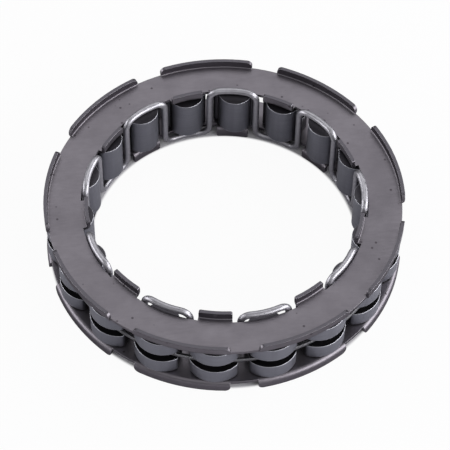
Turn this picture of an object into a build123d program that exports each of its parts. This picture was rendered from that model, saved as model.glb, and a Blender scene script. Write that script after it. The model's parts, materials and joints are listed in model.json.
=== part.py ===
"""Sprag clutch insert: rocking sprags in a two-ring cage, to go between an inner and an outer race.

Millimetres. The origin is the centre of the clutch, and +Z is its axis. Sprag 01 stands on +X.
Seen from +Z, an inner race that turns counterclockwise stands the sprags up and locks, and one that turns
clockwise lays them over and runs free.
"""
from build123d import *
from math import cos, radians, sin, sqrt
import os

os.makedirs("parts", exist_ok=True)

# Races that the clutch works between
inner_race_radius = 25.0
sprag_space = 8.33
shaft_clearance = 0.12
housing_clearance = 0.08

# Counts and width of the whole clutch
sprag_count = 18
clutch_width = 13.5

# Pressed end rings
sheet = 0.65
fold_inside = 0.25
lip_height = 1.5
outer_lip_gap = 8.8
outer_lip_corner = 1.0
outer_notch_depth = 0.5
inner_lip_span = 13.5
inner_lip_corner = 0.35

# Formed retainer wire
wire_diameter = 1.25
wire_bend = 1.9
wire_top_relief = 0.05
wire_notch_clearance = 0.13

# Sprag, standing free and fully spread
nose_radius = 3.33
crown_radius = 4.9
crown_front_reach = 3.9
crown_rear_reach = 4.85
ramp_radius = 8.0
ramp_angle = 20.0
spread_beyond_space = 0.55
nose_inside_race = 0.85
strut_offset = 0.92
nose_lag = 0.34
rear_half_width = 3.75
front_half_width = 4.2
shoulder_clearance = 0.3
front_shoulder_drop = 0.3
flank_hollow = 0.22
shoulder_round = 0.45
crown_round = 0.3
end_clearance = 0.32

# Garter spring and the groove that it lies in
garter_diameter = 0.9
garter_depth = 2.05
groove_side_clearance = 0.6
groove_floor_clearance = 0.27

# Sizes that follow from the ones above
outer_race_radius = inner_race_radius + sprag_space
cage_bore_radius = inner_race_radius + shaft_clearance
cage_outer_radius = outer_race_radius - housing_clearance
half_width = clutch_width / 2
plate_top = half_width - lip_height
plate_under = plate_top - sheet
fold_outside = fold_inside + sheet
outer_fold_radius = cage_outer_radius - fold_outside
inner_fold_radius = cage_bore_radius + fold_outside
wire_radius = wire_diameter / 2
leg_radius = cage_bore_radius + wire_radius
inner_notch_radius = leg_radius + wire_radius + wire_notch_clearance
outer_notch_radius = cage_outer_radius - outer_notch_depth
loop_height = half_width - wire_top_relief - wire_radius
leg_half_length = loop_height - wire_bend

# The pattern of the cage: each period holds two sprags, one lip of each kind and one loop of the wire
cell_angle = 360 / sprag_count
period_count = sprag_count // 2
period_angle = 2 * cell_angle
outer_lip_span = period_angle - outer_lip_gap
loop_phase = 0.0
inner_lip_phase = cell_angle
outer_lip_phase = cell_angle / 2
outer_gap_phase = outer_lip_phase + cell_angle

# The sprag's own frame has its origin on its rocking axis, X outwards and Y forwards round the ring
sprag_tip_radius = inner_race_radius - nose_inside_race
rock_radius = sprag_tip_radius + nose_radius
crown_rise = sprag_space + spread_beyond_space - nose_radius - crown_radius
sprag_half_length = plate_under - end_clearance
garter_radius = garter_diameter / 2
garter_ring_radius = sprag_tip_radius + sprag_space + spread_beyond_space - garter_depth
groove_floor_radius = garter_ring_radius - garter_radius - groove_floor_clearance - rock_radius
groove_half_width = garter_radius + groove_side_clearance


def radial_plane(angle):
    """Upright plane through the clutch's axis, with its own X pointing outwards at the given angle."""
    outwards = (cos(radians(angle)), sin(radians(angle)), 0)
    return Plane(origin=(0, 0, 0), x_dir=outwards, z_dir=(sin(radians(angle)), -cos(radians(angle)), 0))


def sector(radius, span):
    """Pie slice about the origin, centred on +X."""
    start = (radius * cos(radians(-span / 2)), radius * sin(radians(-span / 2)))
    finish = (radius * cos(radians(span / 2)), radius * sin(radians(span / 2)))
    with BuildSketch() as slice_sketch:
        with BuildLine():
            Line((0, 0), start)
            ThreePointArc(start, (radius, 0), finish)
            Line(finish, (0, 0))
        make_face()
    return slice_sketch.sketch


def folded_lip(fold_edge, direction, span, corner):
    """Lip folded up from the plate at fold_edge: outwards with direction 1, inwards with direction -1."""
    profile = radial_plane(-span / 2)
    face_inside = fold_edge + direction * fold_inside
    face_outside = fold_edge + direction * fold_outside
    bend_height = plate_under + fold_outside
    bow = sqrt(0.5)
    with BuildPart() as lip:
        with BuildSketch(profile):
            with BuildLine():
                Line((fold_edge, plate_top), (fold_edge, plate_under))
                ThreePointArc(
                    (fold_edge, plate_under),
                    (fold_edge + direction * fold_outside * bow, bend_height - fold_outside * bow),
                    (face_outside, bend_height),
                )
                Line((face_outside, bend_height), (face_outside, half_width))
                Line((face_outside, half_width), (face_inside, half_width))
                Line((face_inside, half_width), (face_inside, bend_height))
                ThreePointArc(
                    (face_inside, bend_height),
                    (fold_edge + direction * fold_inside * bow, bend_height - fold_inside * bow),
                    (fold_edge, plate_top),
                )
            make_face()
        revolve(axis=Axis.Z, revolution_arc=span)
        fillet(lip.edges().group_by(Axis.Z)[-1].filter_by(GeomType.LINE), corner)
    return lip.part


# Single lips, each centred on +X, and the flat pieces of plate between and under them
outer_lip = folded_lip(outer_fold_radius, 1, outer_lip_span, outer_lip_corner)
inner_lip = folded_lip(inner_fold_radius, -1, inner_lip_span, inner_lip_corner)
outer_tab = sector(outer_notch_radius, outer_lip_gap)
inner_tongue = sector(inner_notch_radius, inner_lip_span)

# Upper end ring: a flat plate with nine lips round each edge, all folded up
with BuildPart() as end_ring_top:
    with BuildSketch(Plane.XY.offset(plate_under)):
        Circle(outer_fold_radius)
        with PolarLocations(0, period_count, start_angle=outer_gap_phase):
            add(outer_tab)
        Circle(inner_notch_radius, mode=Mode.SUBTRACT)
        with PolarLocations(0, period_count, start_angle=inner_lip_phase):
            add(inner_tongue)
        Circle(inner_fold_radius, mode=Mode.SUBTRACT)
    extrude(amount=sheet)
    with PolarLocations(0, period_count, start_angle=outer_lip_phase):
        add(outer_lip)
    with PolarLocations(0, period_count, start_angle=inner_lip_phase):
        add(inner_lip)

end_ring_top.part.label = "end_ring_top"
export_step(end_ring_top.part, "parts/end_ring_top.step")

# Lower end ring: the same pressing turned over about a line through the middle of an outer lip
turning_line = Axis((0, 0, 0), (cos(radians(outer_lip_phase)), sin(radians(outer_lip_phase)), 0))
turned_ring = end_ring_top.part.rotate(turning_line, 180)

with BuildPart() as end_ring_bottom:
    add(turned_ring)

end_ring_bottom.part.label = "end_ring_bottom"
export_step(end_ring_bottom.part, "parts/end_ring_bottom.step")


# Retainer wire: one closed wave of round wire that passes over one sprag and under the next
half_cell = cell_angle / 2
leg_outwards = Vector(cos(radians(half_cell)), -sin(radians(half_cell)), 0)
leg_forwards = Vector(sin(radians(half_cell)), cos(radians(half_cell)), 0)
leg_foot = leg_outwards * leg_radius
bend_start = leg_foot + Vector(0, 0, leg_half_length)
bend_centre = bend_start + leg_forwards * wire_bend
run_start = bend_centre + Vector(0, 0, wire_bend)
run_centre = Vector(wire_bend / sin(radians(half_cell)), 0, loop_height)

# Upper loop, over the sprag on +X: a bend at each end and a run that bows a little outwards
with BuildPart() as upper_loop:
    with BuildSketch(Plane(origin=bend_start, z_dir=(0, 0, 1))):
        Circle(wire_radius)
    revolve(axis=Axis(bend_centre, -leg_outwards), revolution_arc=90)
    mirror(about=Plane.XZ)
    with BuildSketch(Plane(origin=run_start, z_dir=leg_forwards)):
        Circle(wire_radius)
    revolve(axis=Axis(run_centre, (0, 0, 1)), revolution_arc=cell_angle)

with BuildPart() as lower_loop:
    mirror(upper_loop.part, about=Plane.XY)

with BuildPart() as retainer_wire:
    with BuildSketch():
        with PolarLocations(leg_radius, sprag_count, start_angle=half_cell):
            Circle(wire_radius)
    extrude(amount=leg_half_length, both=True)
    with PolarLocations(0, period_count, start_angle=loop_phase):
        add(upper_loop.part)
    with PolarLocations(0, period_count, start_angle=loop_phase + cell_angle):
        add(lower_loop.part)

retainer_wire.part.label = "retainer_wire"
export_step(retainer_wire.part, "parts/retainer_wire.step")

# Garter spring: a closely wound coil joined into a ring, drawn as the coil's outer shape
with BuildPart() as garter_spring:
    Torus(garter_ring_radius, garter_radius)

garter_spring.part.label = "garter_spring"
export_step(garter_spring.part, "parts/garter_spring.step")


def sprag_outline():
    """Section of a sprag about its rocking axis: round nose inwards, crown and flatter rear ramp outwards."""
    leg_below_axis = leg_radius * cos(radians(cell_angle / 2)) - rock_radius
    rear_shelf = leg_below_axis + wire_radius + shoulder_clearance
    front_shelf = -front_shoulder_drop
    rear_foot = Vector(rear_shelf, -sqrt(nose_radius**2 - rear_shelf**2))
    front_foot = Vector(front_shelf, sqrt(nose_radius**2 - front_shelf**2))
    rear_shoulder = Vector(rear_shelf, -rear_half_width)
    front_shoulder = Vector(front_shelf, front_half_width)
    crown_centre = Vector(crown_rise, strut_offset)
    crown_top = crown_centre + Vector(crown_radius, 0)
    front_crown = crown_centre + Vector(sqrt(crown_radius**2 - crown_front_reach**2), crown_front_reach)
    ramp_direction = Vector(cos(radians(ramp_angle)), -sin(radians(ramp_angle)))
    ramp_start = crown_centre + ramp_direction * crown_radius
    ramp_centre = ramp_start - ramp_direction * ramp_radius
    rear_side = strut_offset - crown_rear_reach
    ramp_height = sqrt(ramp_radius**2 - (ramp_centre.Y - rear_side) ** 2)
    rear_crown = Vector(ramp_centre.X + ramp_height, rear_side)
    rear_waist = (rear_shoulder + rear_crown) * 0.5 + Vector(0, flank_hollow)
    front_waist = (front_shoulder + front_crown) * 0.5 - Vector(0, flank_hollow)
    with BuildSketch() as outline:
        with BuildLine():
            ThreePointArc(rear_foot, (-nose_radius, 0), front_foot)
            Line(front_foot, front_shoulder)
            ThreePointArc(front_shoulder, front_waist, front_crown)
            ThreePointArc(front_crown, crown_top, ramp_start)
            RadiusArc(ramp_start, rear_crown, -ramp_radius)
            ThreePointArc(rear_crown, rear_waist, rear_shoulder)
            Line(rear_shoulder, rear_foot)
        make_face()
        shelf_corners = outline.vertices().group_by(Axis.X)
        fillet([shelf_corners[0].sort_by(Axis.Y)[0], shelf_corners[1].sort_by(Axis.Y)[-1]], shoulder_round)
        fillet(outline.vertices().sort_by(Axis.X)[-3:-1], crown_round)
    return outline.sketch


def rocking_plane(index):
    """Plane of one sprag's section, with its origin on the sprag's rocking axis."""
    angle = radians(index * cell_angle)
    outwards = (cos(angle), sin(angle), 0)
    axis_at = (
        rock_radius * cos(angle) + nose_lag * sin(angle),
        rock_radius * sin(angle) - nose_lag * cos(angle),
        0,
    )
    return Plane(origin=axis_at, x_dir=outwards, z_dir=(0, 0, 1))


# Sprags: each a ground bar with a groove across its crown, whose floor is round about the rocking axis
sprag_section = sprag_outline()

for index in range(sprag_count):
    section = rocking_plane(index)
    name = f"sprag_{index + 1:02d}"
    with BuildPart() as sprag:
        with BuildSketch(section.offset(-sprag_half_length)):
            add(sprag_section)
        extrude(amount=2 * sprag_half_length)
        with BuildSketch(section.offset(-groove_half_width)):
            with Locations((crown_rise + crown_radius, 0)):
                Rectangle(2 * (crown_rise + crown_radius), 4 * crown_radius)
            Circle(groove_floor_radius, mode=Mode.SUBTRACT)
        extrude(amount=2 * groove_half_width, mode=Mode.SUBTRACT)
    sprag.part.label = name
    export_step(sprag.part, f"parts/{name}.step")
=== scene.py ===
"""Looks of the sprag clutch insert: steel finishes, sprags, coiled spring, studio and camera. Metres."""

import json
from math import atan2, cos, hypot, pi, radians, sin, sqrt

import bpy
import numpy as np
from mathutils import Matrix, Vector


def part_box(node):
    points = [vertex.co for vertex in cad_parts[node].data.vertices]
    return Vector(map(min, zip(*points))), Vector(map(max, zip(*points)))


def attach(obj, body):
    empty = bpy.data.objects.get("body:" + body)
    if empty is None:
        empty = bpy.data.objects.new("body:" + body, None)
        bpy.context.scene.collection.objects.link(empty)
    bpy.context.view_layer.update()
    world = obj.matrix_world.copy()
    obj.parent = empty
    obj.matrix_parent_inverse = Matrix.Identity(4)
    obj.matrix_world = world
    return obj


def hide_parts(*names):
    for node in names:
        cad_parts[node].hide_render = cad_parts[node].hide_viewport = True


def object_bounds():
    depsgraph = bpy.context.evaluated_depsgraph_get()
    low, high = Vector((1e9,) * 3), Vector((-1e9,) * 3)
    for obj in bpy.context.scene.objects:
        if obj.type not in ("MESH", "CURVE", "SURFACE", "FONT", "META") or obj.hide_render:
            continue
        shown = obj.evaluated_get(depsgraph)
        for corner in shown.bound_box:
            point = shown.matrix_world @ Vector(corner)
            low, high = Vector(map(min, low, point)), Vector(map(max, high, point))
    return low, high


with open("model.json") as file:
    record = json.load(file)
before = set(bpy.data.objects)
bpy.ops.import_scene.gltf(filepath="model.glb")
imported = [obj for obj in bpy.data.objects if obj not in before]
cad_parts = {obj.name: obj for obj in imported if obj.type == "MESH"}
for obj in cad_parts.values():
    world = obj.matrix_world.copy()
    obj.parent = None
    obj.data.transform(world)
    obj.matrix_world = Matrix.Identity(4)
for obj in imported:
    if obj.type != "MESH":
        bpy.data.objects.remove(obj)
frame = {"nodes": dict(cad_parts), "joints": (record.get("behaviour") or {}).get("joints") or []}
cad_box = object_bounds()

# Camera, from a fit to the round edges in the photograph. Angles are in degrees.
CAMERA_DISTANCE = 0.3953
CAMERA_ELEVATION = 53.83
CAMERA_AZIMUTH = 262.8
CAMERA_ROLL = 1.048
CAMERA_PITCH = 0.159
CAMERA_YAW = -0.022
CAMERA_CLIP_START = 0.01
FOCAL_PIXELS = 2123.4
IMAGE_PIXELS = 450
SENSOR_MM = 36.0

# Room and floor. The floor's band under the rings isn't lit up. Outside it the white comes in within a short
# way for the eye, and over a long way in reflections.
ROOM_COLOUR = (0.98, 0.99, 1.0)
ROOM_STRENGTH = 0.25
FLOOR_SIZE = 4.0
FLOOR_COLOUR = (0.58, 0.57, 0.6)
FLOOR_GLOW = 0.95
RING_INSIDE = 0.0253
RING_OUTSIDE = 0.0324
CONTACT_FADE = 0.0005
REFLECTED_FADE = 0.060

# Garter spring: its wire, its pitch in wire diameters, and the steps along a turn and round the wire
COIL_WIRE = 0.00018
COIL_PITCH = 1.12
COIL_STEPS = 12
COIL_SIDES = 6

# Section of a sprag about its rocking axis, with X outwards and Y forwards round the ring. The rounding of a
# corner reaches some way along both its sides.
NOSE_RADIUS = 0.00333
REAR_SHOULDER = (-0.0012, -0.00375)
FRONT_SHOULDER = (-0.0003, 0.0042)
FRONT_CROWN = (0.00338, 0.00482)
CROWN_TOP = (0.00555, 0.00054)
REAR_CROWN = (0.0031, -0.00393)
FLANK_HOLLOW = 0.00022
SHOULDER_REACH = 0.0005
CROWN_REACH = 0.00038
GROOVE_FLOOR_RADIUS = 0.00278

# Heights from the middle plane of a sprag's ends and of its groove's sides
SPRAG_END = 0.00428
GROOVE_SIDE = 0.00105

# How finely the section's stretches are divided, and the angle in degrees from which an edge is sharp
NOSE_STEPS = 40
SHELF_STEPS = 2
FLANK_STEPS = 16
CROWN_STEPS = 48
CORNER_STEPS = 6
GROOVE_STEPS = 40
SHARP_ANGLE = 30

# Rounding of edges in the finishes, and the dot products of the two normals between which their painted
# highlight fades
RING_EDGE_ROUND = 0.00011
SPRAG_EDGE_ROUND = 0.00022
EDGE_FACING = (0.8, 0.97)
BEVEL_SAMPLES = 16

# Share of a speck's radius that is covered fully
SPECK_CORE = 0.6

# Axes that count in a distance from the clutch's axis, and in one from its middle plane
FROM_AXIS = (1, 1, 0)
FROM_MIDDLE = (0, 0, 1)

# Distances from the clutch's axis: where the painted shade on a sprag's flanks lies, and where the painted
# shade in its groove comes in
NOSE_EDGE = 0.0262
CROWN_EDGE = 0.0309
FLANK_FADE = 0.0004
GROOVE_SHADE_BEGIN = 0.0285
GROOVE_SHADE_FULL = 0.0295

# How near to a sprag's flat face the painted shade on that face begins and is full
FACE_BEGIN = 0.00003
FACE_FULL = 0.00001

# Heights from the middle plane between which painted shade comes in on the rings' lips, towards their cut
# tips
TIP_SHADE_BEGIN = 0.0065
TIP_SHADE_FULL = 0.0067

# Spans of a noise's values over which a finish changes
WIDE = (0.3, 0.7)
NARROW = (0.35, 0.65)

# Strip steel of the end rings
STRIP_DARK = (0.150, 0.139, 0.157)
STRIP_LIGHT = (0.188, 0.175, 0.196)
STRIP_STAIN = (0.105, 0.098, 0.112)
STRIP_HAIRLINE = (0.25, 0.24, 0.26)
STRIP_SPECK = (0.075, 0.066, 0.076)
# Painted shade on the lips' tips
STRIP_TIP_SHADE = (0.105, 0.099, 0.114)
# Painted highlight on the rings' edges
STRIP_EDGE_HIGHLIGHT = (0.24, 0.23, 0.255)
STRIP_GRAZING_TINT = (0.4, 0.4, 0.4)
STRIP_ROUGHNESS = (0.38, 0.47)
HAIRLINE_TURNS = (25, 70, 140)

# Hardened steel of the sprags
GROUND_DARK = (0.187, 0.189, 0.22)
GROUND_LIGHT = (0.217, 0.219, 0.252)
GROUND_STREAK = (0.15, 0.15, 0.175)
# Painted shade on the sprags' flanks, between the sprags
FLANK_SHADE = (0.06, 0.058, 0.066)
# Painted shade in the groove
GROOVE_SHADE = (0.022, 0.021, 0.024)
# Painted shade on the sprags' ends, which lie under the rings' plates
SPRAG_END_SHADE = (0.06, 0.057, 0.066)
# Painted highlight on the sprags' edges
SPRAG_EDGE_HIGHLIGHT = (0.52, 0.52, 0.57)
GROUND_ROUGHNESS = (0.44, 0.52)

# Spring steel of the retainer wire and of the garter spring
WIRE_DARK = (0.335, 0.328, 0.358)
WIRE_LIGHT = (0.395, 0.388, 0.42)
WIRE_ROUGHNESS = (0.41, 0.47)
# The garter spring's darker colours are painted shade, from the groove it lies in
COIL_SHADED_DARK = (0.15, 0.148, 0.16)
COIL_SHADED_LIGHT = (0.2, 0.197, 0.212)
COIL_ROUGHNESS = (0.28, 0.38)

SPRAGS = [name for name in frame["nodes"] if name.startswith("sprag_")]
RINGS = ["end_ring_top", "end_ring_bottom"]


def direction(azimuth, elevation):
    """Unit vector that points from the origin to a place at that azimuth and elevation, in degrees."""
    flat = cos(radians(elevation))
    return Vector((flat * cos(radians(azimuth)), flat * sin(radians(azimuth)), sin(radians(elevation))))


def make_camera():
    """Camera aimed at the clutch's middle, and then turned by the small angles of the fit."""
    away = direction(CAMERA_AZIMUTH, CAMERA_ELEVATION)
    right = Vector((0, 0, 1)).cross(away).normalized()
    down = right.cross(away)
    turn = (
        Matrix.Rotation(radians(CAMERA_ROLL), 3, "Z")
        @ Matrix.Rotation(radians(CAMERA_PITCH), 3, "X")
        @ Matrix.Rotation(radians(CAMERA_YAW), 3, "Y")
    )
    rightwards, downwards, forwards = turn @ Matrix((right, down, -away))
    stance = Matrix((rightwards, -downwards, -forwards)).transposed()
    data = bpy.data.cameras.new("camera")
    data.sensor_width = SENSOR_MM
    data.lens = FOCAL_PIXELS / IMAGE_PIXELS * SENSOR_MM
    data.clip_start = CAMERA_CLIP_START
    camera = bpy.data.objects.new("camera", data)
    camera.matrix_world = Matrix.Translation(away * CAMERA_DISTANCE) @ stance.to_4x4()
    bpy.context.scene.collection.objects.link(camera)
    bpy.context.scene.camera = camera


def soft_box(name, azimuth, elevation, distance, width, height, radiance):
    """Area lamp aimed at the clutch, whose brightness is given as the radiance of its face."""
    lamp = bpy.data.lights.new(name, "AREA")
    lamp.shape = "RECTANGLE"
    lamp.size = width
    lamp.size_y = height
    lamp.energy = radiance * pi * width * height
    box = bpy.data.objects.new(name, lamp)
    away = direction(azimuth, elevation)
    box.location = away * distance
    box.rotation_euler = away.to_track_quat("Z", "Y").to_euler()
    bpy.context.scene.collection.objects.link(box)


class Shader:
    """Small helper that builds a node material on the object's own coordinates."""

    def __init__(self, name):
        self.material = bpy.data.materials.new(name)
        self.material.use_nodes = True
        self.tree = self.material.node_tree
        self.tree.nodes.clear()
        self.place = self.node("ShaderNodeTexCoord").outputs["Object"]

    def node(self, kind, **settings):
        made = self.tree.nodes.new(kind)
        for key, value in settings.items():
            setattr(made, key, value)
        return made

    def link(self, source, target):
        self.tree.links.new(source, target)

    def show(self, surface):
        """Make this output the surface of the material."""
        self.link(surface, self.node("ShaderNodeOutputMaterial").inputs["Surface"])

    def math(self, operation, first, second=0.0):
        """Result of a Math node. Either value may be a float or an output."""
        made = self.node("ShaderNodeMath", operation=operation)
        for value, socket in zip((first, second), made.inputs):
            if isinstance(value, float):
                socket.default_value = value
            else:
                self.link(value, socket)
        return made.outputs["Value"]

    def graded(self, source, span, values=(0, 1)):
        """Number that goes from the first of the values to the second while the source crosses the span."""
        made = self.node("ShaderNodeMapRange")
        made.inputs["From Min"].default_value, made.inputs["From Max"].default_value = span
        made.inputs["To Min"].default_value, made.inputs["To Max"].default_value = values
        self.link(source, made.inputs["Value"])
        return made.outputs["Result"]

    def distance(self, counted):
        """Distance from the object's origin, counting the axes that are marked with 1."""
        kept = self.node("ShaderNodeVectorMath", operation="MULTIPLY")
        kept.inputs[1].default_value = counted
        self.link(self.place, kept.inputs[0])
        length = self.node("ShaderNodeVectorMath", operation="LENGTH")
        self.link(kept.outputs["Vector"], length.inputs[0])
        return length.outputs["Value"]

    def stretched(self, scale, turn=0):
        """Object coordinates, turned about Z by degrees and then scaled along their axes."""
        mapping = self.node("ShaderNodeMapping", vector_type="TEXTURE")
        mapping.inputs["Rotation"].default_value = (0, 0, radians(turn))
        mapping.inputs["Scale"].default_value = [1 / size for size in scale]
        self.link(self.place, mapping.inputs["Vector"])
        return mapping.outputs["Vector"]

    def noise(self, scale, detail=3.0, roughness=0.5, stretch=(1, 1, 1)):
        made = self.node("ShaderNodeTexNoise")
        made.inputs["Scale"].default_value = scale
        made.inputs["Detail"].default_value = detail
        made.inputs["Roughness"].default_value = roughness
        self.link(self.stretched(stretch), made.inputs["Vector"])
        return made.outputs["Fac"]

    def specks(self, scale, share, radius, stretch=(1, 1, 1), turn=0):
        """1 on small spots, in that share of the cells, and 0 elsewhere. Stretched spots are scratches."""
        cells = self.node("ShaderNodeTexVoronoi")
        cells.inputs["Scale"].default_value = scale
        self.link(self.stretched(stretch, turn), cells.inputs["Vector"])
        near = self.graded(cells.outputs["Distance"], (radius * SPECK_CORE, radius), (1, 0))
        colour = self.node("ShaderNodeSeparateColor")
        self.link(cells.outputs["Color"], colour.inputs["Color"])
        return self.math("MULTIPLY", near, self.math("LESS_THAN", colour.outputs["Red"], share))

    def shades(self, source, span, dark, light):
        """Colour that goes from dark to light while the source crosses the span."""
        made = self.node("ShaderNodeValToRGB")
        for element, position, colour in zip(made.color_ramp.elements, span, (dark, light)):
            element.position = position
            element.color = (*colour, 1)
        self.link(source, made.inputs["Fac"])
        return made.outputs["Color"]

    def painted(self, base, mask, colour):
        """The base colour, covered by another where the mask is 1."""
        made = self.node("ShaderNodeMix", data_type="RGBA")
        made.inputs["B"].default_value = (*colour, 1)
        self.link(mask, made.inputs["Factor"])
        self.link(base, made.inputs["A"])
        return made.outputs["Result"]

    def rounded(self, radius):
        """Normal with the sharp edges rounded off, and a mask that is 1 on those edges, where a highlight is
        painted.
        """
        made = self.node("ShaderNodeBevel", samples=BEVEL_SAMPLES)
        made.inputs["Radius"].default_value = radius
        facing = self.node("ShaderNodeVectorMath", operation="DOT_PRODUCT")
        self.link(made.outputs["Normal"], facing.inputs[0])
        self.link(self.node("ShaderNodeNewGeometry").outputs["Normal"], facing.inputs[1])
        return made.outputs["Normal"], self.graded(facing.outputs["Value"], EDGE_FACING, (1, 0))


class Metal(Shader):
    """Metal material, made of one Principled shader."""

    def __init__(self, name):
        super().__init__(name)
        self.surface = self.node("ShaderNodeBsdfPrincipled")
        self.surface.inputs["Metallic"].default_value = 1.0
        self.show(self.surface.outputs["BSDF"])

    def colour(self, source):
        self.link(source, self.surface.inputs["Base Color"])

    def roughness(self, source):
        self.link(source, self.surface.inputs["Roughness"])

    def bump(self, height, distance, normal=None):
        made = self.node("ShaderNodeBump")
        made.inputs["Distance"].default_value = distance
        self.link(height, made.inputs["Height"])
        if normal is not None:
            self.link(normal, made.inputs["Normal"])
        self.link(made.outputs["Normal"], self.surface.inputs["Normal"])


def pressed_steel():
    """Satin strip steel of the end rings: clouds, stains, grain, specks, hairlines, painted shade on the
    lips' tips and painted highlights on the edges.
    """
    shader = Metal("pressed_steel")
    shader.surface.inputs["Specular Tint"].default_value = (*STRIP_GRAZING_TINT, 1)
    normal, edges = shader.rounded(RING_EDGE_ROUND)
    clouds = shader.noise(scale=150, detail=5, roughness=0.6)
    tone = shader.shades(clouds, WIDE, STRIP_DARK, STRIP_LIGHT)
    stains = shader.graded(shader.noise(scale=55), span=(0.6, 0.75), values=(0, 0.3))
    tone = shader.painted(tone, stains, STRIP_STAIN)
    for turn in HAIRLINE_TURNS:
        hairlines = shader.specks(scale=1300, share=0.035, radius=0.13, stretch=(1, 0.05, 0.05), turn=turn)
        tone = shader.painted(tone, hairlines, STRIP_HAIRLINE)
    tone = shader.painted(tone, shader.specks(scale=1100, share=0.05, radius=0.32), STRIP_SPECK)
    # Painted shade: the lips darken towards their tips, standing in for the dark reflections there
    tip_shade = shader.graded(shader.distance(FROM_MIDDLE), (TIP_SHADE_BEGIN, TIP_SHADE_FULL))
    tone = shader.painted(tone, tip_shade, STRIP_TIP_SHADE)
    # Painted highlight on the rounded edges
    shader.colour(shader.painted(tone, edges, STRIP_EDGE_HIGHLIGHT))
    grain = shader.noise(scale=520, detail=4, stretch=(1, 9, 1))
    shader.roughness(shader.graded(grain, WIDE, STRIP_ROUGHNESS))
    shader.bump(grain, distance=0.000008, normal=normal)
    return shader.material


def ground_steel():
    """Hardened steel of the sprags: ground and streaked nose and crown, with painted shade on the flanks, in
    the groove and on the ends, and painted highlights on the edges.
    """
    shader = Metal("ground_steel")
    normal, edges = shader.rounded(SPRAG_EDGE_ROUND)
    lines = shader.noise(scale=220, stretch=(1, 1, 25))
    tone = shader.shades(lines, NARROW, GROUND_DARK, GROUND_LIGHT)
    along = shader.noise(scale=600, detail=2, stretch=(1, 1, 0.04))
    streaks = shader.graded(along, span=(0.5, 0.7), values=(0, 0.4))
    tone = shader.painted(tone, streaks, GROUND_STREAK)
    radius = shader.distance(FROM_AXIS)
    beyond_nose = shader.graded(radius, (NOSE_EDGE, NOSE_EDGE + FLANK_FADE))
    below_crown = shader.graded(radius, (CROWN_EDGE - FLANK_FADE, CROWN_EDGE), (1, 0))
    # Painted shade on the flanks, between the sprags
    tone = shader.painted(tone, shader.math("MULTIPLY", beyond_nose, below_crown), FLANK_SHADE)
    height = shader.distance(FROM_MIDDLE)
    in_groove = shader.graded(height, (GROOVE_SIDE + FACE_FULL, GROOVE_SIDE + FACE_BEGIN), (1, 0))
    far_out = shader.graded(radius, (GROOVE_SHADE_BEGIN, GROOVE_SHADE_FULL))
    # Painted shade deep in the groove
    tone = shader.painted(tone, shader.math("MULTIPLY", in_groove, far_out), GROOVE_SHADE)
    # Painted shade on the ends, which lie under the rings' plates
    ends = shader.graded(height, (SPRAG_END - FACE_BEGIN, SPRAG_END - FACE_FULL))
    tone = shader.painted(tone, ends, SPRAG_END_SHADE)
    # Painted highlight on the rounded edges
    shader.colour(shader.painted(tone, edges, SPRAG_EDGE_HIGHLIGHT))
    shader.roughness(shader.graded(lines, WIDE, GROUND_ROUGHNESS))
    shader.bump(lines, distance=0.000004, normal=normal)
    return shader.material


def bright_wire():
    """Drawn spring wire of the retainer: bright grey, with faint drawing marks."""
    shader = Metal("bright_wire")
    marks = shader.noise(scale=1400)
    shader.colour(shader.shades(marks, NARROW, WIRE_DARK, WIRE_LIGHT))
    shader.roughness(shader.graded(marks, WIDE, WIRE_ROUGHNESS))
    shader.bump(marks, distance=0.000003)
    return shader.material


def coil_steel():
    """Spring steel of the garter spring, with painted shade from the groove it lies in."""
    shader = Metal("coil_steel")
    marks = shader.noise(scale=1200, detail=2)
    shader.colour(shader.shades(marks, NARROW, COIL_SHADED_DARK, COIL_SHADED_LIGHT))
    shader.roughness(shader.graded(marks, WIDE, COIL_ROUGHNESS))
    return shader.material


def pale_floor():
    """White to the eye and in reflections, but left to the real light under and close to the rings."""
    shader = Shader("pale_floor")
    ring_middle = (RING_INSIDE + RING_OUTSIDE) / 2
    half_band = ring_middle - RING_INSIDE
    off_middle = shader.math("ABSOLUTE", shader.math("SUBTRACT", shader.distance(FROM_AXIS), ring_middle))
    path = shader.node("ShaderNodeLightPath").outputs
    clear = shader.graded(off_middle, (half_band, half_band + CONTACT_FADE))
    seen = shader.math("MULTIPLY", path["Is Camera Ray"], clear)
    far = shader.graded(off_middle, (half_band, half_band + REFLECTED_FADE))
    mirrored = shader.math("MAXIMUM", path["Is Glossy Ray"], path["Is Transmission Ray"])
    reflected = shader.math("MULTIPLY", mirrored, far)
    share = shader.math("MULTIPLY", shader.math("ADD", seen, reflected), FLOOR_GLOW)
    paper = shader.node("ShaderNodeBsdfDiffuse")
    paper.inputs["Color"].default_value = (*FLOOR_COLOUR, 1)
    glow = shader.node("ShaderNodeEmission")
    glow.inputs["Strength"].default_value = 1.0
    mix = shader.node("ShaderNodeMixShader")
    shader.link(share, mix.inputs["Fac"])
    shader.link(paper.outputs["BSDF"], mix.inputs[1])
    shader.link(glow.outputs["Emission"], mix.inputs[2])
    shader.show(mix.outputs["Shader"])
    return shader.material


def arc(start, through, finish, steps):
    """Points on the arc through three points."""
    (ax, ay), (bx, by), (cx, cy) = start, through, finish
    four_areas = 2 * (ax * (by - cy) + bx * (cy - ay) + cx * (ay - by))
    a2, b2, c2 = ax * ax + ay * ay, bx * bx + by * by, cx * cx + cy * cy
    centre_x = (a2 * (by - cy) + b2 * (cy - ay) + c2 * (ay - by)) / four_areas
    centre_y = (a2 * (cx - bx) + b2 * (ax - cx) + c2 * (bx - ax)) / four_areas
    angles = [atan2(y - centre_y, x - centre_x) for x, y in (start, through, finish)]
    sweep = (angles[2] - angles[0]) % (2 * pi)
    if (angles[1] - angles[0]) % (2 * pi) > sweep:
        sweep -= 2 * pi
    turned = angles[0] + np.linspace(0, sweep, steps + 1)
    radius = hypot(ax - centre_x, ay - centre_y)
    return np.stack([centre_x + radius * np.cos(turned), centre_y + radius * np.sin(turned)], axis=1)


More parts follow.
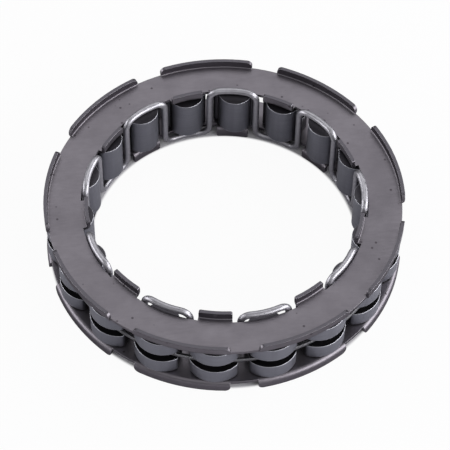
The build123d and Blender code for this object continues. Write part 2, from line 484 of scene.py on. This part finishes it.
def shortened(line, start_cut, finish_cut):
    """A line of points cut back by a length at each end, with as many points, evenly spaced."""
    spans = np.linalg.norm(np.diff(line, axis=0), axis=1)
    along = np.concatenate([[0], np.cumsum(spans)])
    kept = np.linspace(start_cut, along[-1] - finish_cut, len(line))
    return np.stack([np.interp(kept, along, line[:, axis]) for axis in (0, 1)], axis=1)


def rounded_corner(arriving, corner, leaving):
    """Points on the smooth curve that cuts a corner off, all but the last."""
    share = np.linspace(0, 1, CORNER_STEPS, endpoint=False)[:, None]
    return (1 - share) ** 2 * arriving + 2 * share * (1 - share) * corner + share**2 * leaving


def sprag_outline():
    """Section of a sprag: round nose, two shelves, hollow flanks and round crown, with rounded corners."""
    rear_foot = (REAR_SHOULDER[0], -sqrt(NOSE_RADIUS**2 - REAR_SHOULDER[0] ** 2))
    front_foot = (FRONT_SHOULDER[0], sqrt(NOSE_RADIUS**2 - FRONT_SHOULDER[0] ** 2))
    rear_waist = np.add(REAR_SHOULDER, REAR_CROWN) / 2 + (0, FLANK_HOLLOW)
    front_waist = np.add(FRONT_SHOULDER, FRONT_CROWN) / 2 - (0, FLANK_HOLLOW)
    # Each stretch, and how far the rounding of the corner at its end reaches
    stretches = [
        (arc(rear_foot, (-NOSE_RADIUS, 0), front_foot, NOSE_STEPS), 0),
        (np.linspace(front_foot, FRONT_SHOULDER, SHELF_STEPS + 1), SHOULDER_REACH),
        (arc(FRONT_SHOULDER, front_waist, FRONT_CROWN, FLANK_STEPS), CROWN_REACH),
        (arc(FRONT_CROWN, CROWN_TOP, REAR_CROWN, CROWN_STEPS), CROWN_REACH),
        (arc(REAR_CROWN, rear_waist, REAR_SHOULDER, FLANK_STEPS), SHOULDER_REACH),
        (np.linspace(REAR_SHOULDER, rear_foot, SHELF_STEPS + 1), 0),
    ]
    lines = []
    for index, (stretch, reach) in enumerate(stretches):
        next_stretch, next_reach = stretches[(index + 1) % len(stretches)]
        trimmed = shortened(stretch, stretches[index - 1][1], reach)
        lines.append(trimmed[:-1])
        if reach:
            leaving = shortened(next_stretch, reach, next_reach)[0]
            lines.append(rounded_corner(trimmed[-1], stretch[-1], leaving))
    return np.concatenate(lines)


def at_axis_level(outline, index):
    """Point level with the rocking axis on the outline, between the point of that index and the next."""
    first, second = outline[index], outline[index + 1]
    return first + (second - first) * first[0] / (first[0] - second[0])


def band(lower, upper):
    """Quads between two closed loops of points, one above the other."""
    following = [*range(1, len(lower)), 0]
    return [(upper[here], upper[ahead], lower[ahead], lower[here]) for here, ahead in enumerate(following)]


def sprag_mesh(name):
    """Bar about its rocking axis, with a groove across the crown whose floor is round about that axis."""
    outline = sprag_outline()
    outward = np.flatnonzero(outline[:, 0] > 0)
    first, last = outward[0], outward[-1]
    crown = [at_axis_level(outline, first - 1), *outline[first : last + 1], at_axis_level(outline, last)]
    section = [*crown, *outline[last + 1 :], *outline[:first]]
    floor_turns = np.linspace(pi / 2, -pi / 2, GROOVE_STEPS + 1)
    floor = GROOVE_FLOOR_RADIUS * np.stack([np.cos(floor_turns), np.sin(floor_turns)], axis=1)

    levels = [(height, section) for height in (-SPRAG_END, -GROOVE_SIDE, GROOVE_SIDE, SPRAG_END)]
    levels += [(height, floor) for height in (-GROOVE_SIDE, GROOVE_SIDE)]
    points = []
    loops = []
    for height, line in levels:
        loops.append(range(len(points), len(points) + len(line)))
        points += [(x, y, height) for x, y in line]
    bottom, low_side, high_side, top, low_floor, high_floor = loops
    crown_end = len(crown) - 1
    low_grooved = [low_side[0], *low_floor, *low_side[crown_end:]]
    high_grooved = [high_side[0], *high_floor, *high_side[crown_end:]]

    faces = [tuple(bottom), tuple(reversed(top))]
    faces += band(bottom, low_side) + band(low_grooved, high_grooved) + band(high_side, top)
    faces.append((*low_floor, *reversed(low_side[: crown_end + 1])))
    faces.append((*reversed(high_floor), *high_side[: crown_end + 1]))
    mesh = bpy.data.meshes.new(name)
    mesh.from_pydata(points, [], faces)
    mesh.shade_smooth()
    mesh.set_sharp_from_angle(angle=radians(SHARP_ANGLE))
    return mesh


def rocking_sprags(material):
    """The sprags, each on its own rocking body, in the place of the node that it stands for."""
    for index, joint in enumerate(frame["joints"]):
        node = joint["child"]
        mesh = sprag_mesh(f"rocking_{node}")
        turn = Matrix.Rotation(2 * pi * index / len(SPRAGS), 4, "Z")
        mesh.transform(Matrix.Translation(joint["pos_m"]) @ turn)
        mesh.materials.append(material)
        sprag = bpy.data.objects.new(f"rocking_{node}", mesh)
        bpy.context.scene.collection.objects.link(sprag)
        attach(sprag, node)
        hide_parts(node)


def garter_coil(material):
    """Closely wound coil joined into a ring, in the space of the plain ring that it stands for."""
    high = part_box("garter_spring")[1]
    coil_outside = high[2]
    ring_radius = high[0] - coil_outside
    wire_radius = COIL_WIRE / 2
    turns = int(2 * pi * ring_radius / (COIL_PITCH * COIL_WIRE))
    count = turns * COIL_STEPS
    round_ring = np.linspace(0, 2 * pi, count, endpoint=False)
    round_coil = round_ring[:, None] * turns
    outwards = np.stack([np.cos(round_ring), np.sin(round_ring), np.zeros(count)], axis=1)
    upwards = np.array([0, 0, 1])
    normal = outwards * np.cos(round_coil) + upwards * np.sin(round_coil)
    middle = outwards * ring_radius + normal * (coil_outside - wire_radius)
    along = np.roll(middle, -1, axis=0) - np.roll(middle, 1, axis=0)
    side = np.cross(along, normal)
    side /= np.linalg.norm(side, axis=1)[:, None]
    lines = []
    for step in range(COIL_SIDES):
        turn = 2 * pi * step / COIL_SIDES
        lines.append(middle + wire_radius * (normal * cos(turn) + side * sin(turn)))
    points = np.stack(lines, axis=1).reshape(-1, 3)
    here = np.arange(count)[:, None] * COIL_SIDES
    ahead = (np.arange(count) + 1)[:, None] % count * COIL_SIDES
    corner = np.arange(COIL_SIDES)[None, :]
    beside = (corner + 1) % COIL_SIDES
    faces = np.stack([here + corner, here + beside, ahead + beside, ahead + corner], axis=2).reshape(-1, 4)
    mesh = bpy.data.meshes.new("garter_coil")
    mesh.from_pydata(points.tolist(), [], faces.tolist())
    mesh.shade_smooth()
    mesh.materials.append(material)
    coil = bpy.data.objects.new("garter_coil", mesh)
    bpy.context.scene.collection.objects.link(coil)
    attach(coil, "cage")
    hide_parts("garter_spring")


def dress(names, material):
    """Give carried-over nodes their material."""
    for name in names:
        slots = frame["nodes"][name].data.materials
        slots.clear()
        slots.append(material)


def make_floor(height):
    bpy.ops.mesh.primitive_plane_add(size=FLOOR_SIZE, location=(0, 0, height))
    floor = bpy.context.object
    floor.name = "floor"
    floor.data.materials.append(pale_floor())


def make_world():
    world = bpy.data.worlds.new("studio")
    bpy.context.scene.world = world
    world.use_nodes = True
    background = world.node_tree.nodes["Background"]
    background.inputs["Color"].default_value = (*ROOM_COLOUR, 1)
    background.inputs["Strength"].default_value = ROOM_STRENGTH


def make_lamps():
    """Four lamps round the clutch: opposite the camera, behind it, and to its left and right."""
    front, high = CAMERA_AZIMUTH, CAMERA_ELEVATION
    soft_box("back_light", front + 180, high, distance=0.45, width=0.5, height=0.36, radiance=1.3)
    soft_box("front_light", front, high, distance=0.6, width=0.6, height=0.4, radiance=0.7)
    soft_box("left_light", front - 95, elevation=17, distance=0.5, width=0.5, height=0.28, radiance=4.0)
    soft_box("right_light", front + 80, elevation=20, distance=0.5, width=1.0, height=0.38, radiance=5.0)


dress(RINGS, pressed_steel())
sprag_finish = ground_steel()
dress(SPRAGS, sprag_finish)
rocking_sprags(sprag_finish)
dress(["retainer_wire"], bright_wire())
spring_finish = coil_steel()
dress(["garter_spring"], spring_finish)
garter_coil(spring_finish)

make_floor(cad_box[0][2])
make_world()
make_lamps()
make_camera()

bpy.context.scene.view_settings.view_transform = "Standard"
